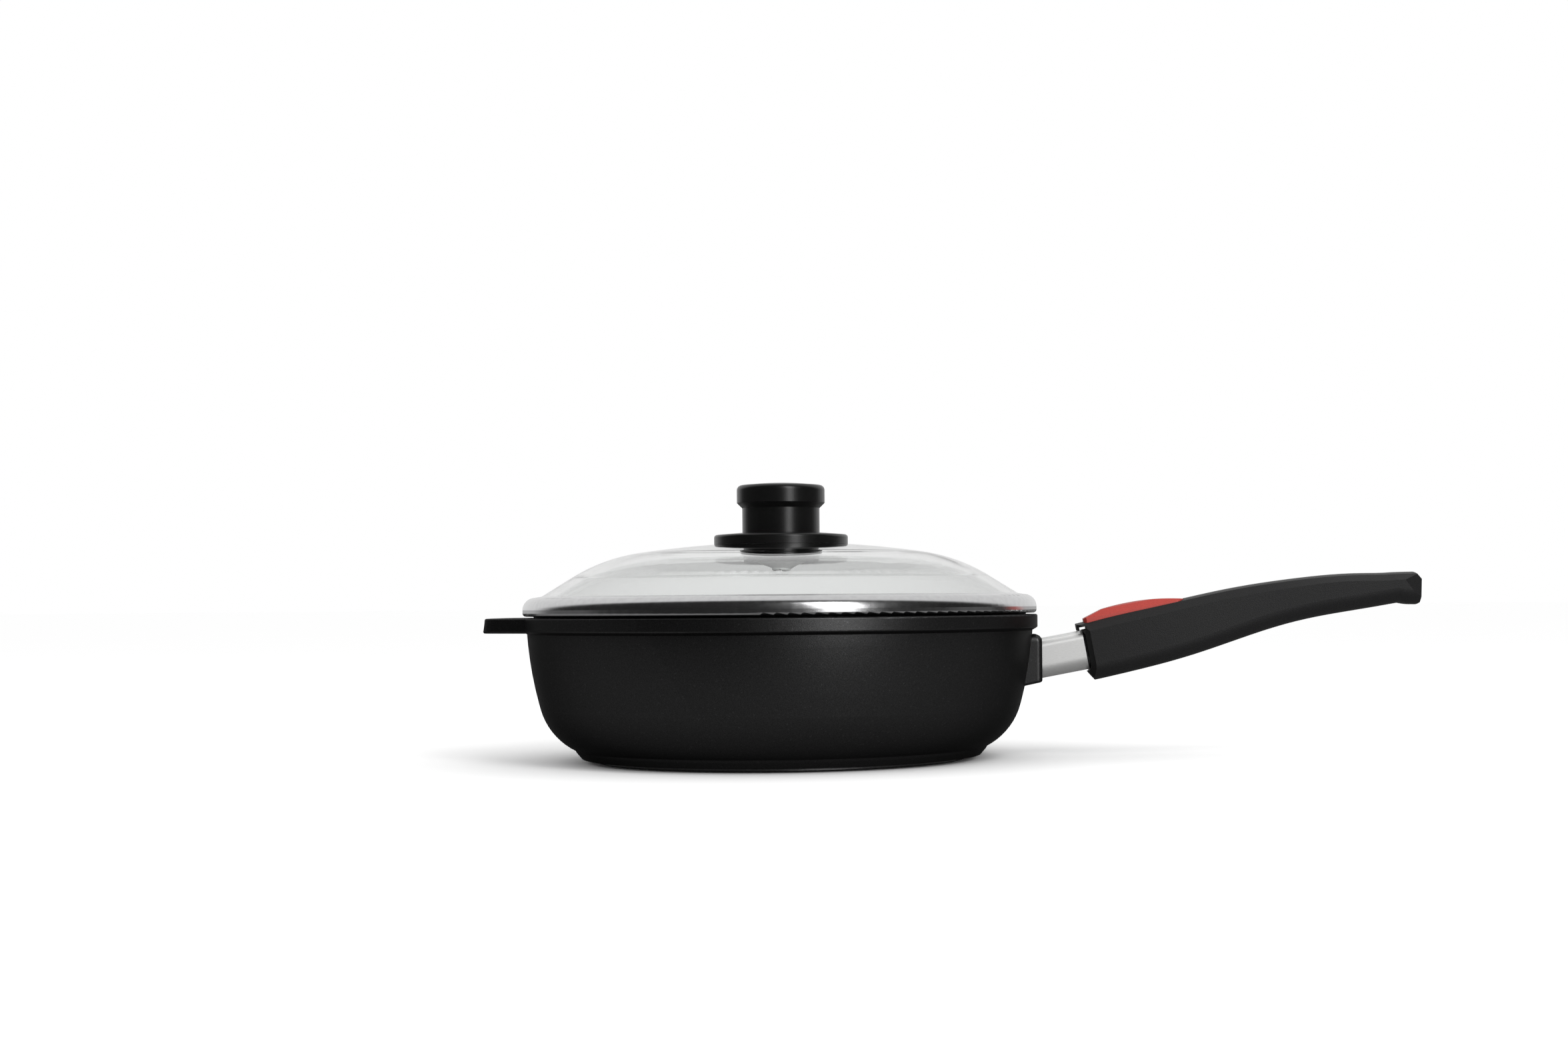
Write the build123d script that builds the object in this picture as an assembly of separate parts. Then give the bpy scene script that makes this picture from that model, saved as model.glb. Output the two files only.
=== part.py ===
"""Cast saute pan with a glass lid and a pull-off handle, one STEP file per piece.

Frame: millimetres, +Z up, origin at the centre of the base's resting face, and +X towards
the long handle.
"""

import os
from math import asin, atan, cos, degrees, radians, sin, tan

from build123d import *

# Pan casting, measured as radii and heights above the resting face
rim_radius = 145.0
rim_height = 81.1
rim_band_height = 8.9
rim_band_proud = 2.9
rim_undercut_rise = 1.7
rim_edge_round = 0.9
rim_width = 8.0
knee_height = 30.0
knee_inset = 7.2
wall_belly = 1.1
step_height = 7.2
step_inset = 18.7
step_land = 1.4
step_land_inset = 0.8
foot_height = 2.4
foot_inset = 2.9
floor_height = 9.6
floor_corner_inset = 7.4
floor_corner_round = 30.0

# Ledge inside the rim that the lid's skirt stands on
ledge_depth = 2.9
ledge_width = 1.6

# Base disc let into the underside of the casting
plate_inset = 8.8
plate_recess = 2.0
plate_edge_round = 0.8

# Helper ear opposite the handle
ear_reach = 21.2
ear_thickness = 8.2
ear_drop = 0.1
ear_root_depth = 14.0
ear_root_half = 53.0
ear_tip_half = 34.0
ear_slot_root_half = 36.0
ear_bar = 8.2
ear_nose = 3.0
ear_round = 12.0
ear_front_round = 48.0
ear_slot_round = 4.8
ear_edge_round = 1.0
ear_draft = 7.6

# Boss that carries the handle
boss_reach = 2.2
boss_half_width = 15.0
boss_drop = 11.4
boss_height = 30.2
boss_bottom_rise = 3.4
boss_root_depth = 16.0
boss_top_round = 4.0
boss_side_round = 3.0
boss_bottom_round = 1.5

# Handle axis, which leaves the boss face and rises outwards
handle_tilt = 10.5
handle_axis_drop = 25.1

# Steel sleeve round the root of the tang
sleeve_length = 25.0
sleeve_half_width = 9.0
sleeve_below = 11.1
sleeve_shoulder = 9.5
sleeve_rail_rise = 1.7
sleeve_rail_half = 4.8
sleeve_low_round = 7.4
sleeve_top_round = 3.2
sleeve_wall = 1.2

# Plug, washer and tang inside the sleeve
plug_length = 5.5
washer_thickness = 1.6
washer_radius = 6.6
stud_radius = 4.0
stud_length = 9.5
tang_collar_radius = 6.9
tang_collar_length = 4.0
tang_half_width = 6.0
tang_half_thick = 2.5
tang_end = 78.6
fork_half_width = 2.3
notch_centre = 69.6
notch_half_length = 2.2
notch_half_width = 4.4
notch_depth = 1.5

# Insert of the handle: a collar that shows, and a body with the tang's slot
collar_gap = 0.3
collar_length = 7.2
insert_end = 96.6
insert_half_width = 9.3
insert_below = 9.0
insert_above = 9.5
insert_round = 3.0
tang_side_gap = 0.3

# Leaf spring of the latch, its clamp nut and its screw
leaf_thickness = 0.5
leaf_half_width = 3.3
leaf_pad_height = -6.0
leaf_rise = 1.6
leaf_ramp_length = 4.8
leaf_channel_half = 3.7
leaf_channel_drop = 1.0
leaf_pad_start = 84.6
leaf_front = 67.0
leaf_margin = 0.6
tooth_gap = 0.4
tooth_bite = 1.3
clamp_at = 88.6
nut_half = 3.5
nut_thickness = 2.2
clamp_screw_radius = 2.0
clamp_head_radius = 3.5
clamp_head_height = 2.3
clamp_head_round = 0.8
clamp_end_reach = 1.0
clamp_seat = 2.1

# Grip shell, in the handle's frame: along the axis, across it and up from it
grip_length = 196.0
lip_overhang = 2.5
lip_bottom = 11.5
lip_half_width = 7.0
lip_wall = 1.3
lip_recess_length = 4.2
lip_recess_height = 1.6
mouth_side = 4.1
mouth_centre = -1.2
mouth_half_width = 10.2
mouth_below = 12.0
mouth_depth = 8.4
mouth_round = 4.5
grip_half_width = 14.0
grip_crown = 15.8
grip_belly = 17.3
grip_flat_half_share = 0.643
grip_crown_round = 1.2
grip_bevel_drop = 5.8
grip_corner_round = 8.5
chin_depth = 5.3
chin_length = 3.4

# Shares along the grip, evenly spaced: length, crown, belly, half width, bevel drop
grip_station_shares = (
    (-0.035, 0.984, 1.012, 1.000, 1.00),
    (0.085, 1.051, 0.994, 1.000, 1.01),
    (0.205, 1.103, 0.928, 0.994, 1.01),
    (0.325, 1.147, 0.806, 0.974, 0.97),
    (0.445, 1.182, 0.618, 0.945, 0.95),
    (0.565, 1.150, 0.442, 0.931, 0.91),
    (0.685, 1.056, 0.371, 0.949, 0.82),
    (0.805, 0.889, 0.396, 0.985, 0.78),
    (0.925, 0.646, 0.422, 1.014, 0.78),
)

# The same shares for the heel, which starts where the even stretch ends
grip_heel_shares = (
    (0.925, 0.646, 0.422, 1.014, 0.78),
    (0.960, 0.576, 0.561, 1.021, 0.78),
    (0.995, 0.500, 0.613, 1.029, 0.78),
    (1.030, 0.418, 0.607, 1.036, 0.78),
)

# Facets that close the grip's far end
end_lean = 16.7
end_top_drop = 3.4
end_top_angle = 30.0
end_top_start = 2.3
end_top_height = 7.4
end_side_angle = 27.6
end_side_half = 10.3
end_side_lean = 12.5
heel_round = 4.2
heel_inset = 6.3
heel_drop = 5.9

# Release button, its pin, its pocket and its return spring
button_front = 4.7
button_length = 57.8
button_half_width = 8.2
button_base_front = 13.8
button_base_rear = 15.7
button_front_top = 17.5
button_ramp_length = 11.2
button_ramp_top = 20.85
button_crown = 21.5
button_rear_top = 17.9
button_side_top = 17.4
button_deck_half = 5.8
button_deck_height = 21.0
button_deck_crown = 0.8
button_nose_cut = 1.6
button_tail_round = 5.0
pocket_gap = 0.35
pocket_floor = 12.9
pin_at = 37.6
pin_height = 12.6
pin_radius = 1.25
pin_half_length = 9.2
pin_gap = 0.05
lug_radius = 2.2
lug_half_width = 6.0
lug_pocket_gap = 0.5
foot_half_length = 1.1
foot_half_width = 1.8
foot_gap = 0.2
foot_slot_gap = 0.4
foot_slot_lead = 0.8
spring_at = 55.6
spring_radius = 2.2
spring_wire = 0.3
spring_turns = 5
spring_bore_radius = 3.0
spring_bore_top = 18.9
spring_seat_depth = 0.6

# Lid glass: rim flange, straight flank, shoulder arc and flat crown
glass_thickness = 4.0
flange_inset = 3.2
flange_land = 5.9
flange_drop = 0.95
flange_rise = 10.8
flange_bend_round = 5.0
flank_angle = 31.9
shoulder_radius = 97.4
shoulder_inset = 55.9
crown_radius = 555.0
glass_hole_radius = 5.6
glass_edge_round = 1.9

# Steel rim rolled round the glass edge, with the skirt that stands in the pan
steel_sheet = 0.8
steel_tip_lap = 1.7
steel_proud = -0.5
steel_top_round = 6.8
steel_bead_round = 1.8
lid_gap = 0.9
skirt_gap = 0.3
seat_gap = 0.2
skirt_bend_round = 1.0
seal_lip = 2.6
seal_lip_rise = 3.8

# Knob of the lid and the parts that clamp it to the glass
disc_radius = 37.8
disc_rise = 5.4
disc_fall = 1.3
disc_edge_round = 1.5
neck_radius = 21.85
neck_seat = 1.2
neck_length = 13.9
cap_overhang = 3.0
cap_flare_height = 3.0
cap_side = 7.2
cap_edge_inset = 3.4
cap_edge_rise = 2.8
cap_crown_rise = 1.3
screw_radius = 3.0
screw_head_radius = 5.2
screw_head_height = 2.4
screw_slot_half = 0.6
screw_end_cover = 2.0
insert_radius = 5.5
insert_length = 19.9
insert_groove = 0.7
insert_groove_width = 2.0
gasket_radius = 24.0
gasket_thickness = 0.8
pad_radius = 21.3
pad_thickness = 1.7
pad_spigot_gap = 0.3
cup_radius = 13.2
cup_base_radius = 5.6
cup_height = 4.8
cup_sheet = 0.8

# Fits and cuts
seat_clearance = 0.05
screw_clearance = 0.2
overrun = 40.0


# Sizes that follow from the driving ones

rim_inner = rim_radius - rim_width
wall_top_radius = rim_radius - rim_band_proud
wall_top_height = rim_height - rim_band_height
knee_radius = wall_top_radius - knee_inset
step_radius = knee_radius - step_inset
land_radius = step_radius - step_land_inset
foot_radius = land_radius - foot_inset
plate_radius = foot_radius - plate_inset
plate_top = foot_height + plate_recess
ledge_height = rim_height - ledge_depth
ledge_radius = rim_inner + ledge_width
flange_radius = rim_radius - flange_inset
flange_corner_radius = flange_radius - flange_land
flange_corner_height = rim_height + flange_rise
steel_tip_radius = flange_corner_radius - steel_tip_lap
crown_half = flange_corner_radius - shoulder_inset
crown_tilt = degrees(asin(crown_half / crown_radius))
shoulder_spread = sin(radians(flank_angle)) - sin(radians(crown_tilt))
shoulder_drop = cos(radians(crown_tilt)) - cos(radians(flank_angle))
shoulder_end = crown_half + shoulder_radius * shoulder_spread
flank_drop = (flange_corner_radius - shoulder_end) * tan(radians(flank_angle))
crown_drop = crown_radius * (1 - cos(radians(crown_tilt)))
glass_apex = flange_corner_height + flank_drop + shoulder_radius * shoulder_drop + crown_drop
disc_top = glass_apex + disc_rise
neck_foot = disc_top - neck_seat + seat_clearance
neck_top = disc_top + neck_length
cap_radius = neck_radius + cap_overhang
cap_bottom = neck_top + cap_flare_height
cap_shoulder = cap_bottom + cap_side
cap_edge_top = cap_shoulder + cap_edge_rise
cap_top = cap_edge_top + cap_crown_rise
insert_top = neck_foot + insert_length
screw_top = insert_top - screw_end_cover
pad_bottom = glass_apex - glass_thickness - seat_clearance - pad_thickness
boss_face = rim_radius + boss_reach
boss_top = rim_height - boss_drop
boss_bottom = boss_top - boss_height
handle_axis_height = rim_height - handle_axis_drop
sleeve_above = sleeve_shoulder + sleeve_rail_rise
lip_front = sleeve_length - lip_overhang
collar_start = sleeve_length + collar_gap
collar_end = collar_start + collar_length
mouth_end = collar_start + mouth_depth
button_start = lip_front + button_front
button_end = button_start + button_length
washer_start = plug_length + seat_clearance
collar_seat = washer_start + washer_thickness + seat_clearance
bar_start = collar_seat + tang_collar_length
notch_top = notch_depth - tang_half_thick
tooth_top = tooth_bite - tang_half_thick
leaf_top = leaf_pad_height + leaf_thickness
handle_frame = Pos(boss_face, 0, handle_axis_height) * Rot(0, -handle_tilt, 0)


# Helpers


def slab(x, y, z):
    """A box given by its low and high limits on each axis."""
    size = Box(x[1] - x[0], y[1] - y[0], z[1] - z[0])
    return Pos((x[0] + x[1]) / 2, (y[0] + y[1]) / 2, (z[0] + z[1]) / 2) * size


def turned(outline):
    """A solid of revolution about Z from an outline of radius and height."""
    return revolve(Plane.XZ * make_face(outline), axis=Axis.Z)


def upright(outline, half_width):
    """An outline in length and height, extruded to both sides of the middle plane."""
    return extrude(Plane.XZ * make_face(outline), amount=half_width, both=True)


def flat(outline, low, high):
    """An outline in plan, extruded from one height to another."""
    return Pos(0, 0, low) * extrude(make_face(outline), amount=high - low)


def along(outline, start, end):
    """An outline of width and height, extruded along the handle's axis."""
    section = Plane(origin=(start, 0, 0), x_dir=(0, 1, 0), z_dir=(1, 0, 0))
    return extrude(section * make_face(outline), amount=end - start)


def rod(radius, start, end, height=0):
    """A round bar along the handle's axis."""
    return Pos((start + end) / 2, 0, height) * Rot(0, 90, 0) * Cylinder(radius, end - start)


def post(radius, at, low, high):
    """A round bar that stands square to the handle's axis."""
    return Pos(at, 0, (low + high) / 2) * Cylinder(radius, high - low)


def cross_pin(radius, half_length, at, height):
    """A round bar across the handle."""
    return Pos(at, 0, height) * Rot(90, 0, 0) * Cylinder(radius, 2 * half_length)


def mirrored(edges):
    """Edges of a half outline together with their mirror image."""
    return Curve() + edges + [mirror(edge, about=Plane.YZ) for edge in edges]


def sleeve_section(inset=0.0):
    """Section of the sleeve, drawn in by an inset: rounded tube with a rail on its top."""
    half = sleeve_half_width - inset
    low = inset - sleeve_below
    shoulder = sleeve_shoulder - inset
    top = sleeve_above - inset
    rail = sleeve_rail_half - inset
    low_round = sleeve_low_round - inset
    top_round = sleeve_top_round - inset
    low_centre = (half - low_round, low + low_round)
    top_centre = (half - top_round, shoulder - top_round)
    edges = [
        Line((0, low), (half - low_round, low)),
        CenterArc(low_centre, low_round, -90, 90),
        Line((half, low + low_round), (half, shoulder - top_round)),
        CenterArc(top_centre, top_round, 0, 90),
        Line((half - top_round, shoulder), (rail, shoulder)),
        Line((rail, shoulder), (rail, top)),
        Line((rail, top), (0, top)),
    ]
    return mirrored(edges)


# Pan body


def pan_outside():
    """Outer face of the casting, from the middle of its underside to the rim's top."""
    undercut = (rim_radius, wall_top_height + rim_undercut_rise)
    wall = SagittaArc((wall_top_radius, wall_top_height), (knee_radius, knee_height), wall_belly)
    bowl = TangentArc((knee_radius, knee_height), (step_radius, step_height), tangent=wall % 1)
    foot = Polyline(
        (step_radius, step_height),
        (land_radius, step_height - step_land),
        (foot_radius, foot_height),
        (0, foot_height),
        (0, rim_height),
    )
    band = FilletPolyline(
        (0, rim_height),
        (rim_radius, rim_height),
        undercut,
        (wall_top_radius, wall_top_height),
        radius=[rim_edge_round, rim_edge_round],
    )
    return turned(Curve() + [wall, bowl, foot, band])


def pan_hollow():
    """Cooking space with its rounded corner, and the ledge under the rim's top."""
    floor_corner = (knee_radius - floor_corner_inset, floor_height)
    wall = FilletPolyline(
        (0, floor_height), floor_corner, (rim_inner, ledge_height), radius=floor_corner_round
    )
    mouth = Polyline(
        (rim_inner, ledge_height),
        (ledge_radius, ledge_height),
        (ledge_radius, rim_height + overrun),
        (0, rim_height + overrun),
        (0, floor_height),
    )
    return turned(Curve() + [wall, mouth])


def ear():
    """Flat cast loop beyond the rim, with a finger slot through it."""
    tip = rim_radius + ear_reach
    root = rim_radius - ear_root_depth
    low = rim_height - ear_drop - ear_thickness
    outer = FilletPolyline(
        (-root, ear_root_half),
        (ear_nose - tip, ear_tip_half),
        (-tip, 0),
        (ear_nose - tip, -ear_tip_half),
        (-root, -ear_root_half),
        radius=[ear_round, ear_front_round, ear_round],
    )
    back = Line((-root, -ear_root_half), (-root, ear_root_half))
    plan = make_face(Curve() + [outer, back])
    loop = Pos(0, 0, low) * extrude(plan, amount=ear_thickness, taper=ear_draft)
    rims = loop.faces().filter_by(Axis.Z).edges()
    return fillet(rims.filter_by(lambda edge: edge.center().X < -rim_radius), ear_edge_round)


def ear_slot():
    """Finger slot between the rim and the ear's bar."""
    inner = rim_radius + ear_reach - ear_bar
    side = inner - ear_nose / 2
    root = rim_radius - ear_root_depth
    tip_half = ear_tip_half - ear_bar
    slot = FilletPolyline(
        (-root, -ear_slot_root_half),
        (-side, -tip_half),
        (-inner, 0),
        (-side, tip_half),
        (-root, ear_slot_root_half),
        radius=[ear_slot_round, ear_front_round, ear_slot_round],
    )
    back = Line((-root, ear_slot_root_half), (-root, -ear_slot_root_half))
    return flat(Curve() + [slot, back], 0, rim_height + overrun)


def boss():
    """Block on the pan's wall with rounded outer edges, for the handle's stud."""
    root = boss_face - boss_root_depth
    outline = Polyline(
        (root, boss_bottom),
        (boss_face, boss_bottom + boss_bottom_rise),
        (boss_face, boss_top),
        (root, boss_top),
        close=True,
    )
    block = upright(outline, boss_half_width)
    face = block.faces().sort_by(Axis.X)[-1]
    sides = face.edges().filter_by(Axis.Z)
    block = fillet(sides, boss_side_round)
    top_edge = block.faces().sort_by(Axis.X)[-1].edges().sort_by(Axis.Z)[-1]
    block = fillet(top_edge, boss_top_round)
    bottom_edge = block.faces().sort_by(Axis.X)[-1].edges().sort_by(Axis.Z)[0]
    return fillet(bottom_edge, boss_bottom_round)


def pan_body():
    """Casting with rim, foot, ear and boss in one piece, tapped for the stud."""
    body = pan_outside() + (ear() - ear_slot()) + boss()
    body -= pan_hollow()
    recess_radius = plate_radius + seat_clearance
    body -= Pos(0, 0, plate_top / 2) * Cylinder(recess_radius, plate_top)
    stud_hole = rod(stud_radius + seat_clearance, -stud_length - washer_thickness, overrun)
    return body - handle_frame * stud_hole


def base_plate():
    """Steel disc that the pan stands on."""
    height = plate_top - seat_clearance
    disc = Pos(0, 0, height / 2) * Cylinder(plate_radius, height)
    return fillet(disc.edges().sort_by(Axis.Z)[0], plate_edge_round)


# Handle root, fixed to the pan


def beyond_boss(solid):
    """Placed in the handle's frame and trimmed flush with the boss face."""
    trim = slab((0, boss_face), (-overrun, overrun), (0, 2 * rim_height))
    return handle_frame * solid - trim


def handle_sleeve():
    """Flattened steel tube with a rail on top."""
    tube = along(sleeve_section(), -sleeve_low_round, sleeve_length)
    bore = along(sleeve_section(sleeve_wall), -overrun, overrun)
    return beyond_boss(tube - bore)


def sleeve_plug():
    """Cast spacer that squares the stud's seat to the tilted axis."""
    block = along(sleeve_section(sleeve_wall + seat_clearance), -sleeve_low_round, plug_length)
    block -= rod(stud_radius + screw_clearance, -overrun, overrun)
    return beyond_boss(block)


def tang_washer():
    """Spring washer under the tang's collar."""
    start = washer_start
    end = start + washer_thickness
    ring = rod(washer_radius, start, end)
    return handle_frame * (ring - rod(stud_radius + screw_clearance, -overrun, overrun))


def tang():
    """Steel bar with a stud at its root and a forked, notched tip."""
    stud = rod(stud_radius, -stud_length, collar_seat)
    collar = rod(tang_collar_radius, collar_seat, bar_start)
    thick = (-tang_half_thick, tang_half_thick)
    bar = slab((bar_start, tang_end), (-tang_half_width, tang_half_width), thick)
    fork_start = notch_centre - notch_half_length - leaf_margin
    fork = slab((fork_start, overrun + tang_end), (-fork_half_width, fork_half_width),
                (-overrun, overrun))
    notch = slab(
        (notch_centre - notch_half_length, notch_centre + notch_half_length),
        (-notch_half_width, notch_half_width),
        (-overrun, notch_top),
    )
    return handle_frame * (stud + collar + bar - fork - notch)


# Handle


def grip_section(length_share, crown_share, belly_share, width_share, drop_share):
    """One cross-section of the grip: crowned top, bevels, flat sides, rounded bottom."""
    at = lip_front + grip_length * length_share
    crown = grip_crown * crown_share
    half = grip_half_width * width_share
    flat_half = half * grip_flat_half_share
    crease = crown - grip_bevel_drop * drop_share
    low = -grip_belly * belly_share
    turn = grip_corner_round
    edges = [
        Line((flat_half, crown - grip_crown_round), (half, crease)),
        Line((half, crease), (half, low + turn)),
        CenterArc((half - turn, low + turn), turn, -90, 90),
    ]
    top = ThreePointArc(
        (-flat_half, crown - grip_crown_round), (0, crown), (flat_half, crown - grip_crown_round)
    )
    bottom = Line((turn - half, low), (half - turn, low))
    outline = mirrored(edges) + [top, bottom]
    place = Plane(origin=(at, 0, 0), x_dir=(0, 1, 0), z_dir=(1, 0, 0))
    return place * make_face(outline)


def mouth_cutters():
    """What is cut off the grip's front: under the lip, beside the lip and the chin."""
    far = -overrun
    side = sleeve_length + mouth_side
    centre = sleeve_length + mouth_centre
    wide = grip_half_width
    front = ThreePointArc((side, -wide), (centre, 0), (side, wide))
    round_it = Polyline(
        (side, wide), (side, overrun), (far, overrun), (far, -overrun), (side, -overrun),
        (side, -wide),
    )
    under_lip = flat(Curve() + [front, round_it], -overrun, lip_bottom)
    lip_plan = Polyline(
        (lip_front, -lip_half_width),
        (lip_front, lip_half_width),
        (side, wide),
        (side, overrun),
        (far, overrun),
        (far, -overrun),
        (side, -overrun),
        (side, -wide),
        close=True,
    )
    beside_lip = flat(lip_plan, lip_bottom, overrun)
    chin = Polyline(
        (far, -overrun),
        (centre + chin_length, -overrun),
        (centre + chin_length, -grip_belly),
        (centre, chin_depth - grip_belly),
        (far, chin_depth - grip_belly),
        close=True,
    )
    return [under_lip, beside_lip, upright(chin, overrun)]


def end_cutters():
    """What leaves the far end's leaning face, top chamfer, side facets and round heel."""
    tip = lip_front + grip_length
    block = Box(overrun, 2 * overrun, 2 * overrun, align=(Align.MIN, Align.CENTER, Align.CENTER))
    face = Pos(tip, 0, end_top_drop) * Rot(0, end_lean, 0) * block
    top = Pos(tip - end_top_start, 0, end_top_height) * Rot(0, -end_top_angle, 0) * block
    side_turn = Rot(0, 0, 90 - end_side_angle) * Rot(0, -end_side_lean, 0)
    left = Pos(tip, end_side_half, 0) * side_turn * block
    right = mirror(left, about=Plane.XZ)
    heel = slab((tip - heel_inset, tip + overrun), (-overrun, overrun), (-overrun, -heel_drop))
    heel -= cross_pin(heel_round, 2 * overrun, tip - heel_inset, -heel_drop)
    return [face, top, left, right, heel]


def button_plan(gap=0.0):
    """Button outline in plan, grown by a gap all round for its pocket."""
    half = button_half_width + gap
    start = button_start - gap
    end = button_end + gap
    cut = button_nose_cut
    tail = button_tail_round + gap
    nose = Polyline(
        (end - tail, -half), (start + cut, -half), (start, cut * 2 - half),
        (start, half - cut * 2), (start + cut, half), (end - tail, half),
    )
    rear = [
        CenterArc((end - tail, half - tail), tail, 0, 90),
        Line((end, half - tail), (end, tail - half)),
        CenterArc((end - tail, tail - half), tail, -90, 90),
    ]
    return Curve() + [nose] + rear


def foot_slot(low, high):
    """Slot that the button's foot moves in."""
    front = notch_centre - foot_half_length - foot_slot_lead - foot_slot_gap
    rear = notch_centre + foot_half_length + foot_slot_gap
    half = foot_half_width + foot_slot_gap
    return slab((front, rear), (-half, half), (low, high))


def grip_shell():
    """Moulded grip: lofted outside, mouth, socket, button pocket and screw recess."""
    shell = loft([grip_section(*row) for row in grip_station_shares])
    shell += loft([grip_section(*row) for row in grip_heel_shares])
    for cutter in mouth_cutters() + end_cutters():
        shell -= cutter
    mouth = Rectangle(2 * mouth_half_width, mouth_below + lip_bottom)
    mouth = fillet(mouth.vertices(), mouth_round)
    mouth_plane = Plane(origin=(0, 0, (lip_bottom - mouth_below) / 2), x_dir=(0, 1, 0),
                        z_dir=(1, 0, 0))
    shell -= extrude(mouth_plane * mouth, amount=mouth_end)
    shell -= insert_block(seat_clearance, mouth_end - seat_clearance, insert_end)
    shell -= slab(
        (lip_front + lip_wall, lip_front + lip_wall + lip_recess_length),
        (-overrun, overrun),
        (lip_bottom - seat_clearance, lip_bottom + lip_recess_height),
    )
    shell -= flat(button_plan(pocket_gap), pocket_floor, overrun)
    lug_space = lug_radius + lug_pocket_gap
    shell -= slab(
        (pin_at - lug_space, pin_at + lug_space),
        (-lug_half_width - lug_pocket_gap, lug_half_width + lug_pocket_gap),
        (insert_above, pocket_floor + seat_clearance),
    )
    shell -= cross_pin(pin_radius + seat_clearance, pin_half_length + seat_clearance,
                       pin_at, pin_height)
    shell -= foot_slot(insert_above, pocket_floor + seat_clearance)
    shell -= post(spring_bore_radius, spring_at, pocket_floor - spring_seat_depth, overrun)
    seat = insert_below + clamp_seat
    shell -= post(clamp_head_radius + screw_clearance, clamp_at, -overrun, -seat)
    shell -= post(clamp_screw_radius + screw_clearance, clamp_at, -overrun, 0)
    return handle_frame * shell


def insert_block(gap, start, end):
    """Rounded block of the insert's body, grown by a gap for the grip's socket."""
    wide = 2 * (insert_half_width + gap)
    tall = insert_below + insert_above + 2 * gap
    section = fillet(Rectangle(wide, tall).vertices(), insert_round)
    place = Plane(origin=(start, 0, (insert_above - insert_below) / 2), x_dir=(0, 1, 0),
                  z_dir=(1, 0, 0))
    return extrude(place * section, amount=end + gap - start)


def socket_insert():
    """Glossy collar and body with the tang's slot and the latch's channel."""
    body = along(sleeve_section(), collar_start, collar_end)
    body += insert_block(0, collar_end, insert_end)
    wide = tang_half_width + tang_side_gap
    thick = tang_half_thick + tang_side_gap
    body -= slab((0, tang_end + leaf_margin), (-wide, wide), (-thick, thick))
    channel = (-leaf_channel_half, leaf_channel_half)
    front = leaf_front - leaf_margin
    flex_floor = leaf_pad_height - leaf_channel_drop
    body -= slab((front, leaf_pad_start), channel, (flex_floor, 0))
    body -= slab((leaf_pad_start, insert_end + overrun), channel, (leaf_pad_height, 0))
    body -= foot_slot(0, overrun)
    body -= post(clamp_screw_radius + screw_clearance, clamp_at, -overrun, 0)
    return handle_frame * body


def latch_leaf():
    """Spring-steel leaf, clamped at its rear, with an upright tooth near its front."""
    tooth_half = notch_half_length - tooth_gap
    rear = insert_end - leaf_margin
    bend = leaf_pad_start - leaf_rise
    ramp = bend - leaf_ramp_length
    high = leaf_top + leaf_rise
    low = high - leaf_thickness
    outline = Polyline(
        (rear, leaf_pad_height + seat_clearance),
        (rear, leaf_top),
        (bend, leaf_top),
        (ramp, high),
        (notch_centre + tooth_half, high),
        (notch_centre + tooth_half, tooth_top),
        (notch_centre - tooth_half, tooth_top),
        (notch_centre - tooth_half, high),
        (leaf_front, high),
        (leaf_front, low),
        (ramp, low),
        (bend, leaf_pad_height + seat_clearance),
        close=True,
    )
    leaf = upright(outline, leaf_half_width)
    return handle_frame * (leaf - post(clamp_screw_radius + screw_clearance, clamp_at,
                                       -overrun, overrun))


def clamp_nut():
    """Square nut held from turning by the channel's walls."""
    low = leaf_top + seat_clearance
    nut = slab((clamp_at - nut_half, clamp_at + nut_half), (-nut_half, nut_half),
               (low, low + nut_thickness))
    return handle_frame * (nut - post(clamp_screw_radius + seat_clearance, clamp_at,
                                      -overrun, overrun))


def clamp_screw():
    """Screw from the grip's underside that holds insert, leaf and grip together."""
    seat = -insert_below - clamp_seat
    head_top = seat - seat_clearance
    head = post(clamp_head_radius, clamp_at, head_top - clamp_head_height, head_top)
    head = fillet(head.edges().sort_by(Axis.Z)[0], clamp_head_round)
    end = leaf_top + nut_thickness + clamp_end_reach
    shank = post(clamp_screw_radius, clamp_at, head_top, end)
    slot = slab(
        (clamp_at - clamp_head_radius, clamp_at + clamp_head_radius),
        (-screw_slot_half, screw_slot_half),
        (-overrun, head_top - clamp_head_height / 2),
    )
    return handle_frame * (head + shank - slot)


def button_pin():
    """Cross pin that the button rocks on."""
    return handle_frame * cross_pin(pin_radius, pin_half_length, pin_at, pin_height)


def button_spring():
    """Coil spring between the pocket's floor and the button."""
    low = pocket_floor - spring_seat_depth + spring_wire + seat_clearance
    high = spring_bore_top - spring_wire - seat_clearance
    path = Helix((high - low) / spring_turns, high - low, spring_radius)
    wire = sweep(Plane(origin=path @ 0, z_dir=path % 0) * Circle(spring_wire), path=path)
    return handle_frame * Pos(spring_at, 0, low) * wire


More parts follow.
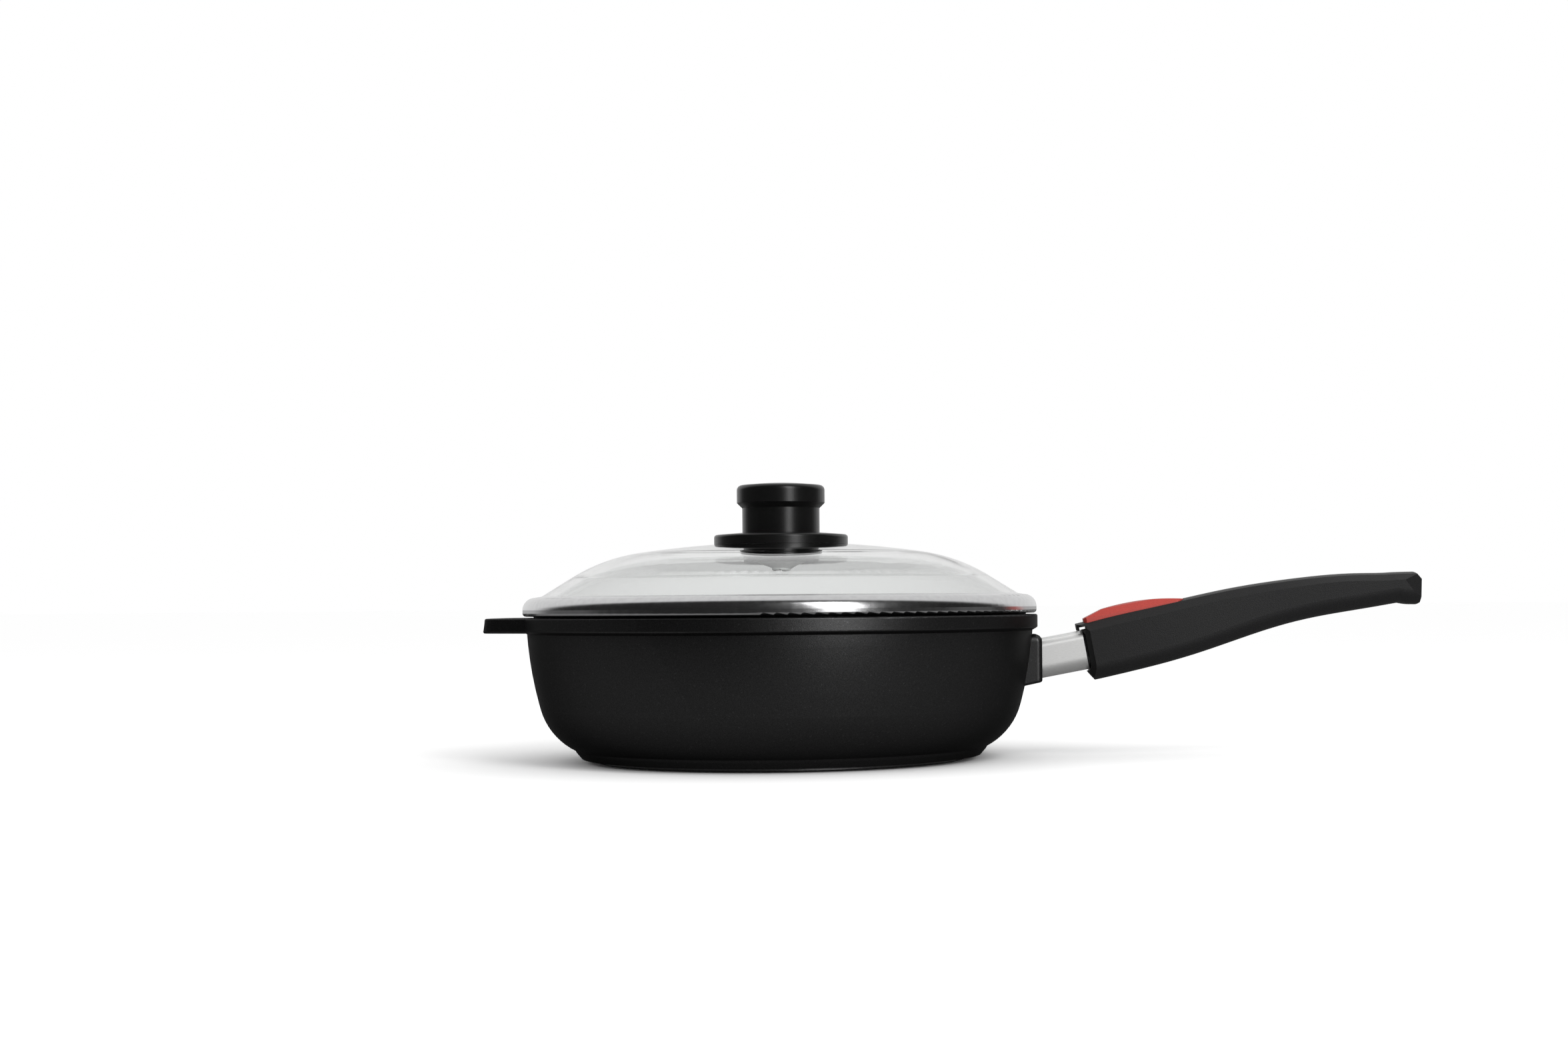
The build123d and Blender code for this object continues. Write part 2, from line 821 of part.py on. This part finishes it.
def release_button():
    """Red rocker with a ramped nose, a crowned deck, a pin lug and a long foot."""
    ramp_end = button_start + button_ramp_length
    arc_middle = (ramp_end + button_end) / 2
    side = Curve() + [
        Polyline(
            (button_end, button_rear_top),
            (button_end, button_base_rear),
            (button_start, button_base_front),
            (button_start, button_front_top),
            (ramp_end, button_ramp_top),
        ),
        ThreePointArc((ramp_end, button_ramp_top), (arc_middle, button_crown),
                      (button_end, button_rear_top)),
    ]
    section = Curve() + [
        Polyline(
            (-button_deck_half, button_deck_height),
            (-button_half_width, button_side_top),
            (-button_half_width, 0),
            (button_half_width, 0),
            (button_half_width, button_side_top),
            (button_deck_half, button_deck_height),
        ),
        ThreePointArc((-button_deck_half, button_deck_height),
                      (0, button_deck_height + button_deck_crown),
                      (button_deck_half, button_deck_height)),
    ]
    cap = upright(side, overrun) & along(section, 0, grip_length)
    cap &= flat(button_plan(), 0, overrun)
    lug = cross_pin(lug_radius, lug_half_width, pin_at, pin_height)
    lug += slab((pin_at - lug_radius, pin_at + lug_radius), (-lug_half_width, lug_half_width),
                (pin_height, pin_height + lug_radius))
    foot = slab(
        (notch_centre - foot_half_length, notch_centre + foot_half_length),
        (-foot_half_width, foot_half_width),
        (tooth_top + foot_gap, button_base_rear + foot_half_length),
    )
    cap = cap + lug + foot
    cap -= cross_pin(pin_radius + pin_gap, overrun, pin_at, pin_height)
    cap -= post(spring_bore_radius, spring_at, 0, spring_bore_top)
    return handle_frame * cap


# Lid


def tilt_of(opposite, longest):
    """Angle in degrees opposite one side of a right triangle, given its longest side."""
    return degrees(asin(opposite / longest))


def crown_arc(start, end, lift=0.0):
    """Arc of the crown between two radii, lifted square to the glass."""
    big = crown_radius + lift
    first = 90 - tilt_of(start, big)
    return CenterArc((0, glass_apex - crown_radius), big, first, 90 - tilt_of(end, big) - first)


def glass_path():
    """Outer face of the glass from its centre hole to its rim."""
    crown = crown_arc(glass_hole_radius, crown_half)
    inward = Vector(sin(radians(crown_tilt)), cos(radians(crown_tilt)))
    centre = crown @ 1 - inward * shoulder_radius
    shoulder = CenterArc(centre, shoulder_radius, 90 - crown_tilt, crown_tilt - flank_angle)
    tail = FilletPolyline(
        shoulder @ 1,
        (flange_corner_radius, flange_corner_height),
        (flange_radius, flange_corner_height - flange_drop),
        radius=flange_bend_round,
    )
    return Wire((Curve() + [crown, shoulder, tail]).edges())


def ribbon(path, thickness):
    """Closed outline of a sheet of even thickness on the right of a path."""
    return offset(path, amount=thickness, side=Side.RIGHT).edges()


def glass_outline(gap=0.0):
    """Section of the glass, grown by a gap for the parts that fit round it."""
    section = make_face(ribbon(glass_path(), glass_thickness))
    section = fillet(section.vertices().sort_by(Axis.X)[-2:], glass_edge_round)
    return offset(section, gap) if gap else section


def lid_glass():
    """Domed glass of even thickness with a hole for the knob's screw."""
    return revolve(Plane.XZ * glass_outline(), axis=Axis.Z)


def glass_space():
    """The glass with a seat clearance all round it."""
    return revolve(Plane.XZ * glass_outline(seat_clearance), axis=Axis.Z)


def steel_top(radius, inset=0.0):
    """Height of the rolled rim's top face at a radius, drawn in by an inset."""
    slope = flange_drop / (flange_radius - flange_corner_radius)
    lift = (steel_sheet + seat_clearance - inset) / cos(atan(slope))
    return flange_corner_height + lift - (radius - flange_corner_radius) * slope


def steel_path():
    """Outer face of the rolled rim from its tip on the glass to the foot of its skirt."""
    side = rim_radius + steel_proud
    low = rim_height + lid_gap
    skirt = ledge_radius - skirt_gap
    return FilletPolyline(
        (steel_tip_radius, steel_top(steel_tip_radius)),
        (side, steel_top(side)),
        (side, low),
        (skirt, low),
        (skirt, ledge_height + seat_gap),
        radius=[steel_top_round, steel_bead_round, skirt_bend_round],
    )


def lid_rim():
    """Steel band rolled round the glass edge, with a bead and a skirt."""
    return turned(ribbon(steel_path(), steel_sheet)) - glass_space()


def rim_seal():
    """Soft filling between the glass edge and the steel, with a lip under the glass."""
    inset = steel_sheet + seat_clearance
    side = rim_radius + steel_proud - inset
    low = rim_height + lid_gap + inset
    lip = ledge_radius - skirt_gap - inset - seal_lip
    middle = glass_thickness / 2
    over = FilletPolyline(
        (lip + seal_lip, low),
        (side, low),
        (side, steel_top(side, inset)),
        (flange_corner_radius, steel_top(flange_corner_radius, inset)),
        radius=[steel_bead_round - inset, steel_top_round - inset],
    )
    inside = Polyline(
        over @ 1,
        (flange_corner_radius, steel_top(flange_corner_radius, inset) - middle),
        (lip, steel_top(flange_corner_radius, inset) - middle),
        (lip, low + seal_lip_rise),
        over @ 0,
    )
    return turned(Curve() + [over, inside]) - glass_space()


# Knob of the lid


def knob_base():
    """Flange dished to the glass, with a gasket recess below and a seat for the neck."""
    hole = screw_radius + screw_clearance
    recess = gasket_radius + seat_clearance
    seat = neck_radius + seat_clearance
    dish = crown_arc(hole, recess, gasket_thickness + 2 * seat_clearance)
    foot = crown_arc(recess, disc_radius, seat_clearance)
    top = FilletPolyline(
        foot @ 1, (disc_radius, disc_top - disc_fall), (seat, disc_top), radius=disc_edge_round
    )
    well = Polyline((seat, disc_top), (seat, disc_top - neck_seat), (hole, disc_top - neck_seat),
                    dish @ 0)
    return turned(Curve() + [dish, Line(dish @ 1, foot @ 0), foot, top, well])


def knob_gasket():
    """Soft ring between the flange and the glass."""
    low = crown_arc(glass_hole_radius, gasket_radius, seat_clearance)
    high = crown_arc(glass_hole_radius, gasket_radius, seat_clearance + gasket_thickness)
    return turned(Curve() + [low, Line(low @ 1, high @ 1), high, Line(high @ 0, low @ 0)])


def insert_space(gap=0.0):
    """Threaded insert as a solid with one anchoring groove, grown by a gap."""
    radius = insert_radius + gap
    low = neck_foot
    high = insert_top + gap
    middle = (low + insert_top) / 2
    half = insert_groove_width / 2 - gap
    outline = Polyline(
        (0, low),
        (radius, low),
        (radius, middle - half),
        (radius - insert_groove, middle - half),
        (radius - insert_groove, middle + half),
        (radius, middle + half),
        (radius, high),
        (0, high),
        close=True,
    )
    return turned(outline)


def knob_grip():
    """Knob with a straight neck, an undercut cap and a slightly domed top."""
    side = Polyline(
        (0, cap_top),
        (0, neck_foot),
        (neck_radius, neck_foot),
        (neck_radius, neck_top),
        (cap_radius, cap_bottom),
        (cap_radius, cap_shoulder),
    )
    edge_end = (cap_radius - cap_edge_inset, cap_edge_top)
    edge = TangentArc((cap_radius, cap_shoulder), edge_end, tangent=(0, 1))
    crown = TangentArc((0, cap_top), edge_end, tangent=(1, 0))
    return turned(Curve() + [side, edge, crown]) - insert_space(seat_clearance)


def knob_insert():
    """Threaded metal insert moulded into the knob."""
    bore = Pos(0, 0, screw_top / 2) * Cylinder(screw_radius + seat_clearance,
                                               screw_top + 2 * screw_clearance)
    return insert_space() - bore


def lower_pad():
    """Soft pad under the glass with a spigot that lines the glass's hole."""
    hole = screw_radius + screw_clearance
    spigot = glass_hole_radius - pad_spigot_gap
    top = crown_arc(spigot, pad_radius, -glass_thickness - seat_clearance)
    rest = Polyline(
        top @ 1,
        (pad_radius, pad_bottom),
        (hole, pad_bottom),
        (hole, glass_apex),
        (spigot, glass_apex),
        top @ 0,
    )
    return turned(Curve() + [top, rest])


def cup_washer():
    """Pressed steel cup that spreads the screw's pull on the pad."""
    seat = pad_bottom - seat_clearance
    slope = (cup_radius - cup_base_radius) / cup_height
    path = Wire(Polyline(
        (cup_radius + slope * cup_sheet, seat + cup_sheet),
        (cup_base_radius, seat - cup_height),
        (screw_radius + screw_clearance, seat - cup_height),
    ).edges())
    above = Pos(0, 0, seat + overrun / 2) * Cylinder(pad_radius, overrun)
    return turned(ribbon(path, cup_sheet)) - above


def knob_screw():
    """Screw that pulls cup, pad, glass, gasket and flange against the knob."""
    head_top = pad_bottom - 2 * seat_clearance - cup_height
    low = head_top - screw_head_height
    head = Pos(0, 0, (low + head_top) / 2) * Cylinder(screw_head_radius, screw_head_height)
    head = fillet(head.edges().sort_by(Axis.Z)[0], screw_head_height / 2)
    shank = Pos(0, 0, (low + screw_top) / 2) * Cylinder(screw_radius, screw_top - low)
    across = (-screw_head_radius, screw_head_radius)
    narrow = (-screw_slot_half, screw_slot_half)
    slot_depth = (0, low + screw_head_height / 2)
    return head + shank - slab(across, narrow, slot_depth) - slab(narrow, across, slot_depth)


os.makedirs("parts", exist_ok=True)
export_step(pan_body(), "parts/pan_body.step")
export_step(base_plate(), "parts/base_plate.step")
export_step(handle_sleeve(), "parts/handle_sleeve.step")
export_step(sleeve_plug(), "parts/sleeve_plug.step")
export_step(tang_washer(), "parts/tang_washer.step")
export_step(tang(), "parts/tang.step")
export_step(grip_shell(), "parts/grip_shell.step")
export_step(socket_insert(), "parts/socket_insert.step")
export_step(latch_leaf(), "parts/latch_leaf.step")
export_step(clamp_nut(), "parts/clamp_nut.step")
export_step(clamp_screw(), "parts/clamp_screw.step")
export_step(button_pin(), "parts/button_pin.step")
export_step(button_spring(), "parts/button_spring.step")
export_step(release_button(), "parts/release_button.step")
export_step(lid_glass(), "parts/lid_glass.step")
export_step(lid_rim(), "parts/lid_rim.step")
export_step(rim_seal(), "parts/rim_seal.step")
export_step(knob_base(), "parts/knob_base.step")
export_step(knob_gasket(), "parts/knob_gasket.step")
export_step(knob_grip(), "parts/knob_grip.step")
export_step(knob_insert(), "parts/knob_insert.step")
export_step(lower_pad(), "parts/lower_pad.step")
export_step(cup_washer(), "parts/cup_washer.step")
export_step(knob_screw(), "parts/knob_screw.step")
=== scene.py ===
from math import radians

import bpy
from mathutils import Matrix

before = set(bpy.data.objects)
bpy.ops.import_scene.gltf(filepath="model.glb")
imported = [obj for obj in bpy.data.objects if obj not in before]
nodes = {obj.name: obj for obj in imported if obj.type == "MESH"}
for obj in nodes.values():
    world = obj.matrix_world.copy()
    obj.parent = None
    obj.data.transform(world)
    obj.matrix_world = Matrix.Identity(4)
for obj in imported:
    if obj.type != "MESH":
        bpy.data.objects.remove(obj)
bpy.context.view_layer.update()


# Sizes and places of the studio, in metres
floor_size = 60.0
floor_dim_start = -0.55
floor_dim_end = -0.22
lamp_place = (0.70, -1.30, 0.78)
lamp_target = (0.0, 0.0, 0.06)
lamp_size = (0.44, 1.5)
lamp_watts = 14.0
camera_place = (0.1, -1.3, 0.0892)
relief_depth = 0.0002

# Camera angles in degrees, and its lens
camera_pitch = 90
camera_roll = 0.464
sensor_width = 36.0
focal_length = 52.61
lens_shift = (-0.1109, 0.0496)
clip_near = 0.05
clip_far = 80.0


# Node materials

def new_material(name):
    """A material with an empty node tree and its output."""
    material = bpy.data.materials.new(name)
    material.use_nodes = True
    tree = material.node_tree
    tree.nodes.clear()
    output = tree.nodes.new("ShaderNodeOutputMaterial")
    return material, tree, output


def add(tree, kind, links=(), **values):
    """A node with its socket values set and its inputs linked from other sockets."""
    node = tree.nodes.new(kind)
    for key, value in values.items():
        node.inputs[key.replace("_", " ")].default_value = value
    for key, socket in dict(links).items():
        tree.links.new(socket, node.inputs[key])
    return node


def ramp(tree, factor, low, high, low_colour, high_colour):
    """A two-stop colour ramp."""
    node = add(tree, "ShaderNodeValToRGB", {"Fac": factor})
    stops = node.color_ramp.elements
    stops[0].position, stops[1].position = low, high
    stops[0].color, stops[1].color = low_colour, high_colour
    return node.outputs["Color"]


def grey(value):
    """A neutral colour."""
    return (value, value, value, 1.0)


def mix_colours(tree, factor, first, second):
    """The blend of two colour sockets, or of a colour and a socket, by a factor socket."""
    node = tree.nodes.new("ShaderNodeMix")
    node.data_type = "RGBA"
    tree.links.new(factor, node.inputs["Factor"])
    blends = [socket for socket in node.inputs if socket.type == "RGBA"]
    for socket, value in zip(blends, (first, second)):
        if isinstance(value, tuple):
            socket.default_value = value
        else:
            tree.links.new(value, socket)
    return [socket for socket in node.outputs if socket.type == "RGBA"][0]


def mix_shaders(tree, factor, first, second):
    """The blend of two shader nodes by a factor socket."""
    node = add(tree, "ShaderNodeMixShader", {"Fac": factor})
    blends = [socket for socket in node.inputs if socket.type == "SHADER"]
    for socket, shader in zip(blends, (first, second)):
        tree.links.new(shader.outputs["BSDF"], socket)
    return node.outputs["Shader"]


def object_coords(tree, stretch=(1, 1, 1)):
    """Object coordinates, stretched along the axes for brushed or drawn grain."""
    coords = add(tree, "ShaderNodeTexCoord").outputs["Object"]
    mapping = add(tree, "ShaderNodeMapping", {"Vector": coords})
    mapping.inputs["Scale"].default_value = stretch
    return mapping.outputs["Vector"]


def surface(name, colour, shade, roughness, spread, grain, bump, stretch=(1, 1, 1), **values):
    """A solid finish whose colour and roughness waver with a fine grain."""
    material, tree, output = new_material(name)
    coords = object_coords(tree, stretch)
    noise = add(tree, "ShaderNodeTexNoise", {"Vector": coords}, Scale=grain, Detail=3.0)
    fac = noise.outputs["Fac"]
    tint = ramp(tree, fac, 0.35, 0.65, (*[c * (1 - shade) for c in colour], 1.0),
                (*[c * (1 + shade) for c in colour], 1.0))
    rough = add(tree, "ShaderNodeMapRange", {"Value": fac})
    rough.inputs["To Min"].default_value = roughness - spread
    rough.inputs["To Max"].default_value = roughness + spread
    links = {"Base Color": tint, "Roughness": rough.outputs["Result"]}
    if bump:
        relief = add(tree, "ShaderNodeBump", {"Height": fac}, Strength=bump,
                     Distance=relief_depth)
        links["Normal"] = relief.outputs["Normal"]
    shader = add(tree, "ShaderNodeBsdfPrincipled", links, **values)
    tree.links.new(shader.outputs["BSDF"], output.inputs["Surface"])
    return material, tree, shader


def coating():
    """Dark sprayed coating: fine grain with scattered paler specks and a faint metal sheen."""
    material, tree, shader = surface(
        "coating", (0.068, 0.068, 0.0685), shade=0.25, roughness=0.38, spread=0.04, grain=2600.0,
        bump=0.35, Metallic=1.0, Specular_Tint=grey(0.35))
    coords = object_coords(tree)
    cells = add(tree, "ShaderNodeTexVoronoi", {"Vector": coords}, Scale=1500.0)
    specks = ramp(tree, cells.outputs["Color"], 0.84, 0.98, grey(0.0), grey(1.0))
    base = shader.inputs["Base Color"].links[0].from_socket
    speckled = mix_colours(tree, specks, base, (0.11, 0.11, 0.112, 1.0))
    tree.links.new(speckled, shader.inputs["Base Color"])
    return material


def glass():
    """Clear tempered glass, faintly green, that lets light through to the pieces under it."""
    material, tree, output = new_material("glass")
    coords = object_coords(tree)
    noise = add(tree, "ShaderNodeTexNoise", {"Vector": coords}, Scale=40.0)
    tint = ramp(tree, noise.outputs["Fac"], 0.0, 1.0,
                (0.985, 0.996, 0.99, 1.0), (0.99, 0.998, 0.993, 1.0))
    shader = add(tree, "ShaderNodeBsdfPrincipled", {"Base Color": tint}, Roughness=0.0, IOR=1.5,
                 Transmission_Weight=1.0)
    through = add(tree, "ShaderNodeBsdfTransparent", Color=(0.94, 0.96, 0.95, 1.0))
    path = tree.nodes.new("ShaderNodeLightPath")
    mixed = mix_shaders(tree, path.outputs["Is Shadow Ray"], shader, through)
    tree.links.new(mixed, output.inputs["Surface"])
    return material


def plain(name, colour, **values):
    """A solid finish that needs no further nodes."""
    return surface(name, colour, **values)[0]


finishes = {
    "coating": coating(),
    "glass": glass(),
    "disc steel": plain(
        "disc_steel", (0.30, 0.30, 0.305), shade=0.1, roughness=0.4, spread=0.05, grain=800.0,
        bump=0, Metallic=1.0),
    "sleeve steel": plain(
        "sleeve_steel", (0.97, 0.97, 0.96), shade=0.05, roughness=0.58, spread=0.05, grain=500.0,
        bump=0.05, stretch=(1, 8, 8), Metallic=1.0),
    "rim steel": plain(
        "rim_steel", (0.62, 0.62, 0.625), shade=0.04, roughness=0.20, spread=0.03, grain=300.0,
        bump=0, Metallic=1.0),
    # Partly painted reflection: the cup washer and screw under the knob are steel hardware, and
    # their pale, barely metallic finish paints in the pale grey reflection of the knob seen under
    # the glass.
    "steel and painted reflection": plain(
        "steel_and_painted_reflection", (0.84, 0.84, 0.83), shade=0.04, roughness=0.5, spread=0.05, grain=500.0,
        bump=0, Metallic=0.1),
    "inner steel": plain(
        "inner_steel", (0.5, 0.5, 0.5), shade=0.08, roughness=0.35, spread=0.05, grain=500.0,
        bump=0, Metallic=1.0),
    "cast metal": plain(
        "cast_metal", (0.45, 0.45, 0.45), shade=0.1, roughness=0.5, spread=0.05, grain=900.0,
        bump=0.1, Metallic=1.0),
    "brass": plain(
        "brass", (0.72, 0.52, 0.22), shade=0.06, roughness=0.3, spread=0.04, grain=500.0,
        bump=0, Metallic=1.0),
    "soft black": plain(
        "soft_black", (0.012, 0.012, 0.012), shade=0.1, roughness=0.6, spread=0.05, grain=1200.0,
        bump=0.1, Specular_IOR_Level=0.25),
    "knob black": plain(
        "knob_black", (0.004, 0.004, 0.004), shade=0.15, roughness=0.30, spread=0.03, grain=1500.0,
        bump=0.05, Specular_IOR_Level=0.4),
    "grip black": plain(
        "grip_black", (0.006, 0.006, 0.0063), shade=0.25, roughness=0.5, spread=0.05, grain=2200.0,
        bump=0.6, Specular_IOR_Level=0.35),
    "insert black": plain(
        "insert_black", (0.006, 0.006, 0.0065), shade=0.1, roughness=0.12, spread=0.02, grain=600.0,
        bump=0, Specular_IOR_Level=0.6),
    "button red": plain(
        "button_red", (0.36, 0.038, 0.028), shade=0.08, roughness=0.45, spread=0.04, grain=1800.0,
        bump=0.15, Specular_IOR_Level=0.4),
}

worn_by = {
    "coating": ["pan_body"],
    "disc steel": ["base_plate"],
    "sleeve steel": ["handle_sleeve"],
    "cast metal": ["sleeve_plug"],
    "glass": ["lid_glass"],
    "rim steel": ["lid_rim"],
    "soft black": ["rim_seal", "knob_gasket", "lower_pad"],
    "knob black": ["knob_grip", "knob_base"],
    "brass": ["knob_insert"],
    "grip black": ["grip_shell"],
    "insert black": ["socket_insert"],
    "button red": ["release_button"],
    # The washer and screw wear the pale finish that paints in the reflection under the knob.
    "steel and painted reflection": ["cup_washer", "knob_screw"],
    "inner steel": ["tang_washer", "tang", "latch_leaf", "clamp_nut", "clamp_screw",
                    "button_pin", "button_spring"],
}

for finish, names in worn_by.items():
    for name in names:
        mesh = nodes[name].data
        mesh.materials.clear()
        mesh.materials.append(finishes[finish])


# Floor, backdrop light and lamp

def floor_material():
    """White sheet that glossy pieces reflect as grey near the pan and dark in front."""
    material, tree, output = new_material("white_sheet")
    coords = object_coords(tree)
    noise = add(tree, "ShaderNodeTexNoise", {"Vector": coords}, Scale=5.0)
    pale = ramp(tree, noise.outputs["Fac"], 0.0, 1.0, grey(0.985), grey(0.995))
    sheet = add(tree, "ShaderNodeBsdfDiffuse", {"Color": pale})
    forward = add(tree, "ShaderNodeSeparateXYZ", {"Vector": coords}).outputs["Y"]
    nearness = add(tree, "ShaderNodeMapRange", {"Value": forward})
    nearness.inputs["From Min"].default_value = floor_dim_start
    nearness.inputs["From Max"].default_value = floor_dim_end
    fade = ramp(tree, nearness.outputs["Result"], 0.0, 1.0, grey(0.01), grey(0.18))
    dim = add(tree, "ShaderNodeBsdfDiffuse", {"Color": fade})
    path = tree.nodes.new("ShaderNodeLightPath")
    mixed = mix_shaders(tree, path.outputs["Is Glossy Ray"], sheet, dim)
    tree.links.new(mixed, output.inputs["Surface"])
    return material


def floor():
    """Large white sheet that the pan stands on."""
    bpy.ops.mesh.primitive_plane_add(size=floor_size, location=(0, 0, 0))
    plane = bpy.context.object
    plane.name = "floor"
    plane.data.materials.append(floor_material())


def world_light():
    """White to the eye and to diffuse light; bright behind and overhead in reflections."""
    world = bpy.data.worlds.new("studio")
    bpy.context.scene.world = world
    world.use_nodes = True
    tree = world.node_tree
    tree.nodes.clear()
    output = tree.nodes.new("ShaderNodeOutputWorld")
    direction = add(tree, "ShaderNodeTexCoord").outputs["Generated"]
    lean = tree.nodes.new("ShaderNodeVectorMath")
    lean.operation = "DOT_PRODUCT"
    tree.links.new(direction, lean.inputs[0])
    lean.inputs[1].default_value = (0.0, 1.2, 1.0)
    gradient = ramp(tree, lean.outputs["Value"], 0.60, 0.85, grey(0.01), grey(0.85))
    path = tree.nodes.new("ShaderNodeLightPath")
    seen = mix_colours(tree, path.outputs["Is Glossy Ray"], grey(1.0), gradient)
    background = add(tree, "ShaderNodeBackground", {"Color": seen}, Strength=1.0)
    tree.links.new(background.outputs["Background"], output.inputs["Surface"])


def softbox(name, place, target, size, energy):
    """Rectangular area lamp that faces a point."""
    lamp = bpy.data.lights.new(name, "AREA")
    lamp.shape = "RECTANGLE"
    lamp.size, lamp.size_y = size
    lamp.energy = energy
    holder = bpy.data.objects.new(name, lamp)
    bpy.context.scene.collection.objects.link(holder)
    holder.location = place
    aim = bpy.data.objects.new(name + "_aim", None)
    bpy.context.scene.collection.objects.link(aim)
    aim.location = target
    track = holder.constraints.new("TRACK_TO")
    track.target = aim
    track.track_axis = "TRACK_NEGATIVE_Z"
    track.up_axis = "UP_Y"


def camera():
    """Camera level with the pan, a little above its rim."""
    lens = bpy.data.cameras.new("photo_view")
    lens.sensor_width = sensor_width
    lens.lens = focal_length
    lens.shift_x, lens.shift_y = lens_shift
    lens.clip_start = clip_near
    lens.clip_end = clip_far
    holder = bpy.data.objects.new("photo_view", lens)
    bpy.context.scene.collection.objects.link(holder)
    holder.location = camera_place
    holder.rotation_euler = (radians(camera_pitch), radians(camera_roll), 0.0)
    bpy.context.scene.camera = holder


floor()
world_light()
softbox("front_right", lamp_place, lamp_target, lamp_size, lamp_watts)
camera()
bpy.context.scene.view_settings.view_transform = "Standard"
bpy.context.scene.view_settings.look = "None"
